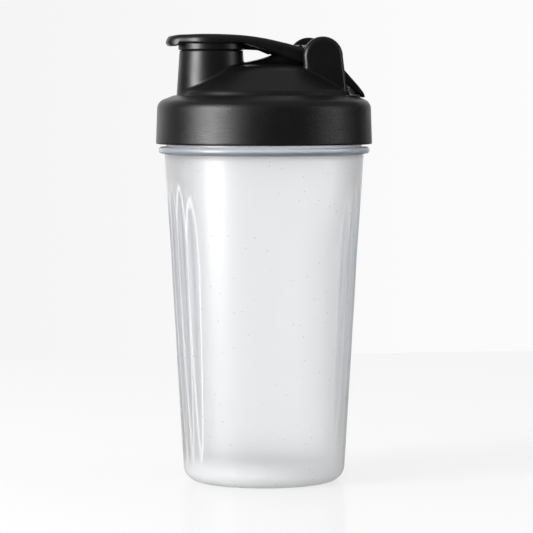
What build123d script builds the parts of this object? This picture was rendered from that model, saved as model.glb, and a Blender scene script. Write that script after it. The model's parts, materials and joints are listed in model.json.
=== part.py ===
"""Protein shaker bottle: a beaker, a screw lid with a drinking spout, and a hinged cap and carry loop.

Millimetres, +Z up, origin at the centre of the base. The spout points to -X and the hinge is on the +X side,
with its pin along Y. Each piece is one solid, written to parts/ under its own name.
"""

import os
from math import cos, radians, sin

from build123d import *

# --- cup -------------------------------------------------------------------------------------------------
WALL_BASE_RADIUS = 35.1  # outer cone, carried down to the table
WALL_TOP_RADIUS = 43.7  # outer cone, just under the bead
WALL = 2.2
BASE_FILLET = 6.6
FLOOR_FILLET = 3.5
FLOOR_Z = 4.8  # inner floor
RECESS_RADIUS = 26.4
RECESS_DRAFT = 1.2  # how much wider the recess is at the table
RECESS_Z = 2.6
BEAD_RADIUS = 46.3
BEAD_LOW_Z, BEAD_HIGH_Z = 143.9, 146.8
NECK_RADIUS = 43.0
NECK_WALL = 1.6
RIM_Z = 164.4

# --- grip flutes, in a panel on each side of the cup -------------------------------------------------------
FLUTES_PER_PANEL = 8
FLUTE_PITCH_DEG = 10.5
FLUTE_CUTTER_RADIUS = 9.0
FLUTE_DEPTH = 1.1
FLUTE_TOP_Z = 131.5  # centre pair
FLUTE_TOP_DROP = 10.0  # how much lower the outermost pair starts
FLUTE_RUN_IN = 34.0  # height over which a flute deepens from its pointed top
FLUTE_FADE_Z = 12.0
PANEL_TURN_DEG = -6.0  # the cup as screwed home: its panels are a little off the lid's hinge line

# --- screw thread -----------------------------------------------------------------------------------------
THREAD_LEAD = 8.0
THREAD_STARTS = 2
THREAD_DEPTH = 1.5
THREAD_ROOT_WIDTH = 2.0
THREAD_CREST_WIDTH = 0.9
THREAD_SINK = 0.3  # how far a thread's root is buried in its wall
CUP_THREAD_Z, CUP_THREAD_TURNS = 151.4, 0.8
LID_THREAD_Z, LID_THREAD_TURNS = 151.0, 0.65

# --- lid --------------------------------------------------------------------------------------------------
COLLAR_Z = 148.0
COLLAR_RADIUS = 47.4
COLLAR_TOP_RADIUS = 46.75
SKIRT_INNER_RADIUS = 45.2
SHOULDER_RADIUS, SHOULDER_Z = 39.3, 169.3  # inner end of the shoulder, at the groove
SHOULDER_SLOPE = 0.375  # fall per millimetre outwards
GASKET_THICKNESS = 1.6
CEILING_Z = RIM_Z + GASKET_THICKNESS
PLUG_RING_OUTER, PLUG_RING_INNER, PLUG_RING_Z = 40.6, 38.6, 158.0
DOME_FOOT_RADIUS, DOME_FOOT_Z = 36.9, 171.2
DOME_BREAK_RADIUS, DOME_BREAK_Z = 22.0, 181.6
DOME_TOP_Z = 184.0
LID_FILLETS = [
    (COLLAR_TOP_RADIUS, 4.5),
    (DOME_BREAK_RADIUS, 15),
    (DOME_FOOT_RADIUS, 1.2),
    (SHOULDER_RADIUS, 0.5),
    (COLLAR_RADIUS, 0.6),
]  # (radius of the edge, radius of its fillet)
SPOUT_X = -23.4
SPOUT_RADIUS, SPOUT_FOOT_RADIUS = 13.85, 15.2
SPOUT_FOOT_Z, SPOUT_SHOULDER_Z = 168.4, 188.8
SPOUT_NECK_RADIUS, SPOUT_TOP_Z = 12.5, 191.5
SPOUT_BORE_RADIUS, SPOUT_MOUTH_RADIUS = 11.7, 11.0
SPOUT_MOUTH_Z = 187.0

# --- hinge ------------------------------------------------------------------------------------------------
HINGE_X, HINGE_Z = 22.6, 186.3
EAR_X, EAR_Z = HINGE_X + 0.4, HINGE_Z - 0.3  # centre of the ears' round tops
EAR_RADIUS = 8.8
EAR_FOOT_Z = 167.2  # where the ears end, inside the dome
EAR_FRONT_LEAN, EAR_BACK_LEAN = 1.6, 2.4  # how far back the two edges of an ear run, down to its foot
EAR_INNER_Y, EAR_OUTER_Y = 14.5, 18.5
EAR_FILLET = 1.4
PIN_RADIUS = 2.0
PIN_RUNNING_RADIUS = PIN_RADIUS + 0.05
PIN_BLIND_Y = -17.0  # the ear on the -Y side is blind; the pin goes in from +Y
PIN_END_Y = 18.2
SADDLE_HALF_WIDTH = 7.4

# --- flip cap ---------------------------------------------------------------------------------------------
CAP_DISC_RADIUS = 15.6
CAP_SKIN = 1.8
CAP_WALL = 1.7
ARM_HALF_WIDTH = 10.4
ARM_STRAIGHT_X = 6.0  # from here to the hinge the arm's sides are parallel
TAB_X = -43.6
TAB_ROOT_X, TAB_ROOT_HALF_WIDTH = SPOUT_X - 12.5, 10.0
CAP_SKIRT_OUTER, CAP_SKIRT_INNER, CAP_SKIRT_Z = 14.35, 13.0, 189.0
CAP_DISC_Z = 192.2  # underside of the disc
ARM_HOLLOW_LOW_X, ARM_HOLLOW_HIGH_X = -7.4, 16.6
BARREL_RADIUS = 4.1
RIB_HALF_WIDTH = 0.9
STOP_X, STOP_Z, STOP_RADIUS = 17.2, 190.3, 0.9  # bead across the arm, beside the hinge

# --- carry loop -------------------------------------------------------------------------------------------
LOOP_FOLD_DEG = -48.0  # direction of the folded loop, from +X towards +Z
LOOP_OUTER_Y, LOOP_INNER_Y = 14.2, 10.75
LOOP_EYE_RADIUS = 4.2
LOOP_WINDOW_END = 20.6  # along the loop, from the pin
LOOP_NOSE = 27.8

# --- seals ------------------------------------------------------------------------------------------------
GASKET_INNER, GASKET_OUTER = 40.9, 44.0
SEAL_RADIUS, SEAL_TIP_RADIUS = 10.7, 10.1
SEAL_SPIGOT_RADIUS, SEAL_TOP_Z, SEAL_TIP_Z = 9.0, 193.2, 187.9
SEAL_WALL = 1.6

# --- mixing grid ------------------------------------------------------------------------------------------
GRID_RADIUS = 38.4
GRID_FLANGE_RADIUS = 39.9
GRID_Z = 156.0
GRID_WALL = 1.4
GRID_TOP_Z = 163.6
GRID_HOLE_RADIUS, GRID_RING_STEP, GRID_RINGS = 2.7, 7.9, 4
SNAP_Z, SNAP_GROOVE_RADIUS, SNAP_BEAD_RADIUS = 161.0, 38.9, 38.8

FAR = 60.0  # larger than any half-width cut


def cup_radius(height):
    """Outer radius of the cup's cone at a height."""
    return WALL_BASE_RADIUS + (WALL_TOP_RADIUS - WALL_BASE_RADIUS) * height / BEAD_LOW_Z


def revolved(points, centre_x=0, mode=Mode.ADD):
    """Turn (radius, height) corners about an upright axis, and add the solid to the part in hand."""
    with BuildSketch(Plane.XZ) as profile:
        with BuildLine():
            Polyline(*[(centre_x + radius, height) for radius, height in points], close=True)
        make_face()
    revolve(profile.sketch, axis=Axis((centre_x, 0, 0), (0, 0, 1)), mode=mode)


def helical_ridge(root_radius, crest_radius, height, turns, start_deg):
    """One start of a screw thread: a trapezoid swept along a right-hand helix."""
    side = 1 if crest_radius > root_radius else -1
    path = Helix(THREAD_LEAD, THREAD_LEAD * turns, root_radius, center=(0, 0, height))
    section_plane = Plane(origin=path @ 0, x_dir=(1, 0, 0), z_dir=path % 0)
    root, crest = THREAD_ROOT_WIDTH / 2, THREAD_CREST_WIDTH / 2
    with BuildPart() as ridge:
        with BuildSketch(section_plane):
            with BuildLine():
                Polyline(
                    (-side * THREAD_SINK, -root),
                    (-side * THREAD_SINK, root),
                    (0, root),
                    (side * THREAD_DEPTH, crest),
                    (side * THREAD_DEPTH, -crest),
                    (0, -root),
                    close=True,
                )
            make_face()
        sweep(path=path, is_frenet=True)
    return ridge.part.rotate(Axis.Z, start_deg)


def thread_starts(root_radius, crest_radius, height, turns, phase_deg):
    """All the starts of one side of the screw thread."""
    step = 360 / THREAD_STARTS
    return [
        helical_ridge(root_radius, crest_radius, height, turns, phase_deg + step * start)
        for start in range(THREAD_STARTS)
    ]


def flute_cutter(top_z):
    """A long round bar in the XZ plane: it sinks into the cup's wall below top_z and fades out near the base."""
    bend_z = top_z - FLUTE_RUN_IN
    exit_z = top_z + FLUTE_CUTTER_RADIUS
    deepening = FLUTE_DEPTH / (bend_z - FLUTE_FADE_Z)
    curving = (FLUTE_DEPTH + deepening * FLUTE_RUN_IN) / FLUTE_RUN_IN**2
    exit_depth = FLUTE_DEPTH + deepening * (exit_z - bend_z) - curving * (exit_z - bend_z) ** 2
    start = (cup_radius(FLUTE_FADE_Z) + FLUTE_CUTTER_RADIUS, 0, FLUTE_FADE_Z)
    bend = (cup_radius(bend_z) + FLUTE_CUTTER_RADIUS - FLUTE_DEPTH, 0, bend_z)
    end = (cup_radius(exit_z) + FLUTE_CUTTER_RADIUS - exit_depth, 0, exit_z)
    with BuildPart() as cutter:
        with BuildLine():
            straight = Line(start, bend)
            TangentArc(bend, end, tangent=straight % 1)
        with BuildSketch(Plane(origin=start, z_dir=straight % 0)):
            Circle(FLUTE_CUTTER_RADIUS)
        sweep()
    return cutter.part


def flute_cutters():
    """The flutes of both grip panels: the middle ones reach highest, so the tops follow a pointed arch."""
    middle = (FLUTES_PER_PANEL - 1) / 2
    cutters = []
    for panel_deg in (0, 180):
        for flute in range(FLUTES_PER_PANEL):
            across = (flute - middle) / middle
            top_z = FLUTE_TOP_Z - FLUTE_TOP_DROP * across**4
            angle = PANEL_TURN_DEG + panel_deg + (flute - middle) * FLUTE_PITCH_DEG
            cutters.append(flute_cutter(top_z).rotate(Axis.Z, angle))
    return cutters


def ear(side):
    """One hinge ear: a D-shaped lug with rounded edges, which rises from the dome."""
    with BuildPart() as lug:
        with BuildSketch(Plane.XZ.offset(-side * (EAR_INNER_Y + EAR_OUTER_Y) / 2)):
            with Locations((EAR_X, EAR_Z)):
                Circle(EAR_RADIUS)
            with BuildLine():
                Polyline(
                    (EAR_X - EAR_RADIUS, EAR_Z),
                    (EAR_X + EAR_RADIUS, EAR_Z),
                    (EAR_X + EAR_RADIUS + EAR_BACK_LEAN, EAR_FOOT_Z),
                    (EAR_X - EAR_RADIUS + EAR_FRONT_LEAN, EAR_FOOT_Z),
                    close=True,
                )
            make_face()
        extrude(amount=(EAR_OUTER_Y - EAR_INNER_Y) / 2, both=True)
        outer_face = lug.faces().sort_by(Axis.Y)[-1 if side > 0 else 0]
        inner_face = lug.faces().sort_by(Axis.Y)[0 if side > 0 else -1]
        fillet(outer_face.edges(), EAR_FILLET)
        fillet(inner_face.edges(), 0.5)
    return lug.part


def saddle():
    """The raised pad between the spout and the hinge, under the cap's arm."""
    with BuildPart() as pad:
        with BuildSketch(Plane.XZ):
            with BuildLine():
                crest = Spline(
                    (-10.5, 182.2),
                    (-4.3, 184.0),
                    (2.2, 186.2),
                    (7.0, 187.8),
                    (11.5, 187.6),
                    (16.4, 181.0),
                )
                Polyline(crest @ 1, (16.4, 176.0), (-10.5, 176.0), crest @ 0)
            make_face()
        extrude(amount=SADDLE_HALF_WIDTH, both=True)
        long_edges = pad.edges().filter_by(lambda edge: edge.center().Z > 183 and edge.length > 10)
        fillet(long_edges, 2.2)
    return pad.part


def cap_plan():
    """The flip cap from above: a disc with a thumb tab, and an arm that narrows to the hinge barrel."""
    with BuildSketch() as plan:
        with Locations((SPOUT_X, 0)):
            Circle(CAP_DISC_RADIUS)
        with BuildLine():
            Polyline(
                (SPOUT_X + 4, CAP_DISC_RADIUS - 0.5),
                (ARM_STRAIGHT_X, ARM_HALF_WIDTH),
                (HINGE_X, ARM_HALF_WIDTH),
                (HINGE_X, -ARM_HALF_WIDTH),
                (ARM_STRAIGHT_X, -ARM_HALF_WIDTH),
                (SPOUT_X + 4, -CAP_DISC_RADIUS + 0.5),
                close=True,
            )
        make_face()
        with BuildLine():
            tab = ThreePointArc(
                (TAB_ROOT_X, TAB_ROOT_HALF_WIDTH),
                (TAB_X, 0),
                (TAB_ROOT_X, -TAB_ROOT_HALF_WIDTH),
            )
            Line(tab @ 1, tab @ 0)
        make_face()
    return plan.sketch


def cap_crest(drop):
    """The cap's top line from the side: the thumb tab, the disc, and the arm falling to the hinge."""
    points = [
        (TAB_X, 193.0),
        (TAB_X + 1.0, 194.4),
        (-40.4, 195.2),
        (-34.0, 195.8),
        (-22.0, 196.0),
        (-10.4, 195.4),
        (-1.5, 194.2),
        (7.4, 192.3),
        (16.2, 190.2),
        (HINGE_X, 189.3),
    ]
    return Spline(*[(x, z - drop) for x, z in points])


def cap_side():
    """The flip cap from the side."""
    with BuildSketch(Plane.XZ) as side:
        with BuildLine():
            crest = cap_crest(0)
            Polyline(
                crest @ 1,
                (HINGE_X, 182.7),
                (20.0, 182.9),
                (14.1, 183.7),
                (7.4, 186.4),
                (-0.1, 188.9),
                (-8.2, 191.2),
                (-11.5, CAP_DISC_Z),
                (-38.4, CAP_DISC_Z),
                (-38.9, 191.0),
                (-40.4, 190.6),
                (-42.1, 190.8),
                (TAB_X + 0.3, 191.9),
                crest @ 0,
            )
        make_face()
    return side.sketch


def arm_hollow():
    """The space under the arm's skin, between its two side flanges."""
    half_width = ARM_HALF_WIDTH - CAP_WALL
    with BuildPart() as hollow:
        with BuildSketch(Plane.XZ):
            with BuildLine():
                crest = cap_crest(CAP_SKIN)
                Polyline(crest @ 1, (HINGE_X, 175), (TAB_X, 175), crest @ 0)
            make_face()
        extrude(amount=half_width, both=True)
        with BuildSketch(Plane.XY.offset(175)):
            with Locations(((ARM_HOLLOW_LOW_X + ARM_HOLLOW_HIGH_X) / 2, 0)):
                RectangleRounded(ARM_HOLLOW_HIGH_X - ARM_HOLLOW_LOW_X, 2 * half_width, 2)
        extrude(amount=30, mode=Mode.INTERSECT)
    return hollow.part


def loop_profile():
    """The carry loop from the side, lying along local +X: an eye, and a bar shaped to rest on the lid."""
    with BuildSketch() as profile:
        Circle(LOOP_EYE_RADIUS)
        with BuildLine():
            Polyline(
                (0, 3.8),
                (25.4, 3.8),
                (LOOP_NOSE - 0.2, 3.45),
                (26.2, 2.8),
                (23.9, 1.75),
                (LOOP_WINDOW_END, 1.1),
                (16.0, 0.2),
                (2.5, -2.6),
                (0, -2.6),
                close=True,
            )
        make_face()
    return profile.sketch


with BuildPart() as cup:
    revolved(
        [
            (0, RECESS_Z),
            (RECESS_RADIUS, RECESS_Z),
            (RECESS_RADIUS + RECESS_DRAFT, 0),
            (cup_radius(0), 0),
            (WALL_TOP_RADIUS, BEAD_LOW_Z),
            (BEAD_RADIUS, BEAD_LOW_Z),
            (BEAD_RADIUS, BEAD_HIGH_Z),
            (NECK_RADIUS, BEAD_HIGH_Z),
            (NECK_RADIUS, RIM_Z),
            (0, RIM_Z),
        ]
    )
    base_edge = cup.edges().filter_by(GeomType.CIRCLE).group_by(Axis.Z)[0].sort_by(SortBy.RADIUS)[-1]
    fillet(base_edge, BASE_FILLET)
    bead_edges = cup.edges().filter_by(GeomType.CIRCLE).filter_by(lambda edge: edge.radius > BEAD_RADIUS - 0.1)
    fillet(bead_edges, 1.3)
    for cutter in flute_cutters():
        add(cutter, mode=Mode.SUBTRACT)
    inner_base_radius = cup_radius(FLOOR_Z) - WALL
    revolved(
        [
            (0, FLOOR_Z),
            (inner_base_radius, FLOOR_Z),
            (WALL_TOP_RADIUS - WALL, BEAD_LOW_Z),
            (NECK_RADIUS - NECK_WALL, BEAD_HIGH_Z),
            (NECK_RADIUS - NECK_WALL, RIM_Z + 1),
            (0, RIM_Z + 1),
        ],
        mode=Mode.SUBTRACT,
    )
    floor_edge = cup.edges().filter_by(GeomType.CIRCLE).filter_by(
        lambda edge: abs(edge.center().Z - FLOOR_Z) < 0.01 and edge.radius > 20
    )
    fillet(floor_edge, FLOOR_FILLET)
    rim_edges = cup.edges().filter_by(GeomType.CIRCLE).group_by(Axis.Z)[-1]
    fillet(rim_edges, 0.5)
    for start in thread_starts(NECK_RADIUS, NECK_RADIUS + THREAD_DEPTH, CUP_THREAD_Z, CUP_THREAD_TURNS, 0):
        add(start)
cup.part.label = "cup"

with BuildPart() as lid:
    revolved(
        [
            (0, COLLAR_Z),
            (COLLAR_RADIUS, COLLAR_Z),
            (COLLAR_TOP_RADIUS, SHOULDER_Z - SHOULDER_SLOPE * (COLLAR_TOP_RADIUS - SHOULDER_RADIUS)),
            (SHOULDER_RADIUS, SHOULDER_Z),
            (38.3, 168.7),
            (37.7, 169.2),
            (DOME_FOOT_RADIUS, DOME_FOOT_Z),
            (DOME_BREAK_RADIUS, DOME_BREAK_Z),
            (0, DOME_TOP_Z),
        ]
    )
    for ring_radius, rounding in LID_FILLETS:
        rings = lid.edges().filter_by(GeomType.CIRCLE)
        fillet(rings.filter_by(lambda edge: abs(edge.radius - ring_radius) < 0.01), rounding)
    with BuildSketch(Plane.XY.offset(SPOUT_FOOT_Z)):
        with Locations((SPOUT_X, 0)):
            Circle(SPOUT_FOOT_RADIUS)
    with BuildSketch(Plane.XY.offset(SPOUT_SHOULDER_Z)):
        with Locations((SPOUT_X, 0)):
            Circle(SPOUT_RADIUS)
    loft()
    with BuildSketch(Plane.XY.offset(SPOUT_SHOULDER_Z - 1)):
        with Locations((SPOUT_X, 0)):
            Circle(SPOUT_NECK_RADIUS)
    extrude(amount=SPOUT_TOP_Z - SPOUT_SHOULDER_Z + 1)
    add(saddle())
    for side in (-1, 1):
        add(ear(side))
    revolved(
        [
            (0, COLLAR_Z - 1),
            (SKIRT_INNER_RADIUS, COLLAR_Z - 1),
            (SKIRT_INNER_RADIUS, CEILING_Z - 1.3),
            (SKIRT_INNER_RADIUS - 0.9, CEILING_Z),
            (PLUG_RING_OUTER, CEILING_Z),
            (PLUG_RING_OUTER, PLUG_RING_Z),
            (PLUG_RING_INNER, PLUG_RING_Z),
            (PLUG_RING_INNER, SNAP_Z - 0.6),
            (SNAP_GROOVE_RADIUS, SNAP_Z - 0.3),
            (SNAP_GROOVE_RADIUS, SNAP_Z + 0.3),
            (PLUG_RING_INNER, SNAP_Z + 0.6),
            (PLUG_RING_INNER, CEILING_Z + 0.6),
            (35.6, 169.8),
            (21.2, 179.8),
            (0, DOME_TOP_Z - 2.0),
        ],
        mode=Mode.SUBTRACT,
    )
    revolved(
        [
            (0, CEILING_Z - 3),
            (SPOUT_BORE_RADIUS, CEILING_Z - 3),
            (SPOUT_BORE_RADIUS, SPOUT_MOUTH_Z),
            (SPOUT_MOUTH_RADIUS, SPOUT_MOUTH_Z + 0.7),
            (SPOUT_MOUTH_RADIUS, SPOUT_TOP_Z + 1),
            (0, SPOUT_TOP_Z + 1),
        ],
        centre_x=SPOUT_X,
        mode=Mode.SUBTRACT,
    )
    with BuildSketch(Plane.XZ.offset(-PIN_BLIND_Y)):
        with Locations((HINGE_X, HINGE_Z)):
            Circle(PIN_RADIUS)
    extrude(amount=-FAR, mode=Mode.SUBTRACT)
    mesh_rise = LID_THREAD_Z - CUP_THREAD_Z + THREAD_LEAD / THREAD_STARTS / 2
    mesh_turn = 360 * mesh_rise / THREAD_LEAD
    crest_radius = SKIRT_INNER_RADIUS - THREAD_DEPTH
    for start in thread_starts(SKIRT_INNER_RADIUS, crest_radius, LID_THREAD_Z, LID_THREAD_TURNS, mesh_turn):
        add(start)
lid.part.label = "lid"

with BuildPart() as lid_gasket:
    revolved(
        [
            (GASKET_INNER, RIM_Z),
            (GASKET_OUTER, RIM_Z),
            (GASKET_OUTER, CEILING_Z),
            (GASKET_INNER, CEILING_Z),
        ]
    )
    fillet(lid_gasket.edges(), 0.4)
lid_gasket.part.label = "lid_gasket"

with BuildPart() as mixing_grid:
    grid_top_inner = GRID_RADIUS - GRID_WALL
    revolved(
        [
            (0, GRID_Z),
            (GRID_FLANGE_RADIUS, GRID_Z),
            (GRID_FLANGE_RADIUS, PLUG_RING_Z),
            (GRID_RADIUS, PLUG_RING_Z),
            (GRID_RADIUS, SNAP_Z - 0.5),
            (SNAP_BEAD_RADIUS, SNAP_Z - 0.2),
            (SNAP_BEAD_RADIUS, SNAP_Z + 0.2),
            (GRID_RADIUS, SNAP_Z + 0.5),
            (GRID_RADIUS, GRID_TOP_Z),
            (grid_top_inner, GRID_TOP_Z),
            (grid_top_inner, PLUG_RING_Z),
            (0, PLUG_RING_Z),
        ]
    )
    with BuildSketch(Plane.XY.offset(GRID_Z - 1)):
        Circle(GRID_HOLE_RADIUS)
        for ring in range(1, GRID_RINGS + 1):
            with PolarLocations(ring * GRID_RING_STEP, 6 * ring, start_angle=15 * ring):
                Circle(GRID_HOLE_RADIUS)
    extrude(amount=PLUG_RING_Z - GRID_Z + 2, mode=Mode.SUBTRACT)
mixing_grid.part.label = "mixing_grid"

with BuildPart() as flip_cap:
    with BuildSketch(Plane.XY.offset(175)):
        add(cap_plan())
    extrude(amount=30)
    extrude(cap_side(), amount=FAR, both=True, mode=Mode.INTERSECT)
    add(arm_hollow(), mode=Mode.SUBTRACT)
    with BuildSketch(Plane.XZ):
        with BuildLine():
            Polyline(
                (SPOUT_X + CAP_SKIRT_OUTER - 0.5, CAP_DISC_Z + 1.2),
                (SPOUT_X + CAP_SKIRT_OUTER - 0.5, CAP_SKIRT_Z + 0.2),
                (-2.7, 188.9),
                (2.2, 186.9),
                (2.2, 191.6),
                close=True,
            )
        make_face()
    extrude(amount=RIB_HALF_WIDTH, both=True)
    with BuildSketch(Plane.XZ):
        with Locations((HINGE_X, HINGE_Z)):
            Circle(BARREL_RADIUS)
    extrude(amount=ARM_HALF_WIDTH, both=True)
    with BuildSketch(Plane.XZ):
        with Locations((14.6, 190.3)):
            RectangleRounded(2.0, 2.0, 0.7)
        with Locations((STOP_X, STOP_Z)):
            Circle(STOP_RADIUS)
    extrude(amount=ARM_HALF_WIDTH - 1.2, both=True)
    revolved(
        [
            (CAP_SKIRT_INNER, CAP_SKIRT_Z),
            (CAP_SKIRT_OUTER, CAP_SKIRT_Z),
            (CAP_SKIRT_OUTER, CAP_DISC_Z + 1),
            (CAP_SKIRT_INNER, CAP_DISC_Z + 1),
        ],
        centre_x=SPOUT_X,
    )
    revolved(
        [
            (0, CAP_DISC_Z - 1),
            (SEAL_SPIGOT_RADIUS, CAP_DISC_Z - 1),
            (SEAL_SPIGOT_RADIUS, SEAL_TOP_Z),
            (0, SEAL_TOP_Z),
        ],
        centre_x=SPOUT_X,
        mode=Mode.SUBTRACT,
    )
    with BuildSketch(Plane.XZ):
        with Locations((HINGE_X, HINGE_Z)):
            Circle(PIN_RUNNING_RADIUS)
    extrude(amount=FAR, both=True, mode=Mode.SUBTRACT)
flip_cap.part.label = "flip_cap"

with BuildPart() as spout_seal:
    revolved(
        [
            (0, SEAL_TOP_Z),
            (SEAL_SPIGOT_RADIUS, SEAL_TOP_Z),
            (SEAL_SPIGOT_RADIUS, CAP_DISC_Z),
            (SEAL_RADIUS, CAP_DISC_Z),
            (SEAL_RADIUS, SPOUT_TOP_Z),
            (SEAL_TIP_RADIUS, SEAL_TIP_Z),
            (SEAL_TIP_RADIUS - SEAL_WALL, SEAL_TIP_Z),
            (SEAL_RADIUS - SEAL_WALL, CAP_DISC_Z - SEAL_WALL),
            (0, CAP_DISC_Z - SEAL_WALL),
        ],
        centre_x=SPOUT_X,
    )
spout_seal.part.label = "spout_seal"

with BuildPart() as carry_loop:
    along = (cos(radians(LOOP_FOLD_DEG)), 0, sin(radians(LOOP_FOLD_DEG)))
    outwards = (-sin(radians(LOOP_FOLD_DEG)), 0, cos(radians(LOOP_FOLD_DEG)))
    side_plane = Plane(origin=(HINGE_X, 0, HINGE_Z), x_dir=along, z_dir=(0, -1, 0))
    face_plane = Plane(origin=(HINGE_X, 0, HINGE_Z), x_dir=along, z_dir=outwards)
    with BuildSketch(side_plane):
        add(loop_profile())
    extrude(amount=LOOP_OUTER_Y, both=True)
    with BuildSketch(face_plane.offset(-FAR / 2)) as loop_outline:
        with Locations((0, 0)):
            Rectangle(2 * LOOP_NOSE, 2 * LOOP_OUTER_Y)
        fillet(loop_outline.vertices().group_by(Axis.X)[-1], 8)
    extrude(amount=FAR, mode=Mode.INTERSECT)
    with BuildSketch(face_plane.offset(-FAR / 2)) as window:
        Rectangle(2 * LOOP_WINDOW_END, 2 * LOOP_INNER_Y)
        fillet(window.vertices().group_by(Axis.X)[-1], 5)
    extrude(amount=FAR, mode=Mode.SUBTRACT)
    with BuildSketch(Plane.XZ):
        with Locations((HINGE_X, HINGE_Z)):
            Circle(PIN_RUNNING_RADIUS)
    extrude(amount=FAR, both=True, mode=Mode.SUBTRACT)
carry_loop.part.label = "carry_loop"

with BuildPart() as hinge_pin:
    with BuildSketch(Plane.XZ.offset(-PIN_BLIND_Y)):
        with Locations((HINGE_X, HINGE_Z)):
            Circle(PIN_RADIUS)
    extrude(amount=PIN_BLIND_Y - PIN_END_Y)
    chamfer(hinge_pin.edges(), 0.3)
hinge_pin.part.label = "hinge_pin"

os.makedirs("parts", exist_ok=True)
for piece in (cup, lid, lid_gasket, mixing_grid, flip_cap, spout_seal, carry_loop, hinge_pin):
    export_step(piece.part, f"parts/{piece.part.label}.step")
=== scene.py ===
"""Looks of the protein shaker bottle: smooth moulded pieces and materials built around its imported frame."""

import json
import math

import bpy
import numpy as np
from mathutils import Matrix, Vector


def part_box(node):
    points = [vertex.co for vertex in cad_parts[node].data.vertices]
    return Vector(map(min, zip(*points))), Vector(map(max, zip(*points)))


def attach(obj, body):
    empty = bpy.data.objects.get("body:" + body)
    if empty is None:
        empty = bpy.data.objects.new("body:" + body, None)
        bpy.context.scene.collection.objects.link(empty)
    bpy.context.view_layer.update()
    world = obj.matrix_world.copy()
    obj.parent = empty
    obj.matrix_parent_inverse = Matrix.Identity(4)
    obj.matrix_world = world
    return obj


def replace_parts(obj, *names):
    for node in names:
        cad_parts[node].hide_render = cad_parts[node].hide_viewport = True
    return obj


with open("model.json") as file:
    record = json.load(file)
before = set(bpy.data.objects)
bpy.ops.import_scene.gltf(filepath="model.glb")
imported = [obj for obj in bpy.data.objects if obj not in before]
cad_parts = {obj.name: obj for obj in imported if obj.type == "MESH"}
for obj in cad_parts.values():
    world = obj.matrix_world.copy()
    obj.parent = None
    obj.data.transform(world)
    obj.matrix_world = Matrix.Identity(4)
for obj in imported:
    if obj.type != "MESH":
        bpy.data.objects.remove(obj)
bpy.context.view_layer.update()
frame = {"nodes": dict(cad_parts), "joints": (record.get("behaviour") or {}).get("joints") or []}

MM = 0.001

# --- sizes in millimetres, in the frame's axes ----------------------------------------------------
BASE_ROUND, FLOOR_ROUND = 6.6, 3.5
WALL_BASE_RADIUS, WALL_TOP_RADIUS, WALL = 35.1, 43.7, 2.2
RECESS_RADIUS, RECESS_DRAFT, RECESS_Z, FLOOR_Z = 26.4, 1.2, 2.6, 4.8
BEAD_RADIUS, BEAD_LOW_Z, BEAD_HIGH_Z = 46.3, 143.9, 146.8
NECK_RADIUS, NECK_BORE, RIM_Z = 43.0, 41.4, 164.4

FLUTES_PER_PANEL, FLUTE_PITCH_DEG, PANEL_TURN_DEG = 8, 10.5, -6.0
FLUTE_BAR_RADIUS, FLUTE_DEPTH, FLUTE_RUN_IN = 9.0, 1.1, 34.0
FLUTE_TOP_Z, FLUTE_TOP_DROP, FLUTE_FADE_Z = 131.5, 7.5, 12.0

THREAD_LEAD, THREAD_STARTS, THREAD_DEPTH = 8.0, 2, 1.5
THREAD_ROOT_WIDTH, THREAD_CREST_WIDTH, THREAD_RAMP = 2.0, 0.9, 0.12
CUP_THREAD_Z, CUP_THREAD_TURNS = 151.4, 0.8
LID_THREAD_Z, LID_THREAD_TURNS = 151.0, 0.65

COLLAR_Z, COLLAR_RADIUS, COLLAR_TOP_RADIUS = 148.0, 47.4, 46.75
SKIRT_BORE, CEILING_Z = 45.2, 166.0
PLUG_RING_OUTER, PLUG_RING_INNER, PLUG_RING_Z = 40.6, 38.6, 158.0
SNAP_GROOVE_RADIUS, SNAP_Z = 38.9, 161.0
SHOULDER_RADIUS, SHOULDER_Z, SHOULDER_SLOPE = 39.3, 169.3, 0.375
DOME_TOP_Z = 184.0
SPOUT_X, SPOUT_FOOT_Z, SPOUT_SHOULDER_Z, SPOUT_TOP_Z = -23.4, 168.4, 188.8, 191.5
SPOUT_RADIUS, SPOUT_FOOT_RADIUS, SPOUT_NECK_RADIUS = 13.85, 15.2, 12.5
SPOUT_BORE, SPOUT_MOUTH, SPOUT_MOUTH_Z = 11.7, 11.0, 187.0

HINGE_X, HINGE_Z = (v / MM for v in frame["joints"][2]["pos_m"][::2])
EAR_X, EAR_Z, EAR_RADIUS = HINGE_X + 0.4, HINGE_Z - 0.3, 8.8
EAR_INNER_Y, EAR_OUTER_Y = 14.5, 18.5
PIN_RADIUS, PIN_BLIND_Y = 2.0, -17.0
SADDLE_HALF_WIDTH = 7.4


# --- implicit surfaces: fields are negative inside a solid, and close to a distance near it -------
def round_and(a, b, radius):
    """The solid common to a and b, with its convex edge rounded."""
    u, v = np.maximum(a + radius, 0), np.maximum(b + radius, 0)
    return np.minimum(np.maximum(a, b), -radius) + np.hypot(u, v)


def round_or(a, b, radius):
    """The union of a and b, with a fillet in the corner between them."""
    u, v = np.maximum(radius - a, 0), np.maximum(radius - b, 0)
    return np.maximum(np.minimum(a, b), radius) - np.hypot(u, v)


def blend_or(a, b, bulge):
    """The union of a and b where they meet at a shallow angle, with the crease filled by up to bulge."""
    width = 4 * bulge
    return np.minimum(a, b) - np.maximum(width - np.abs(a - b), 0) ** 2 / (4 * width)


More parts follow.
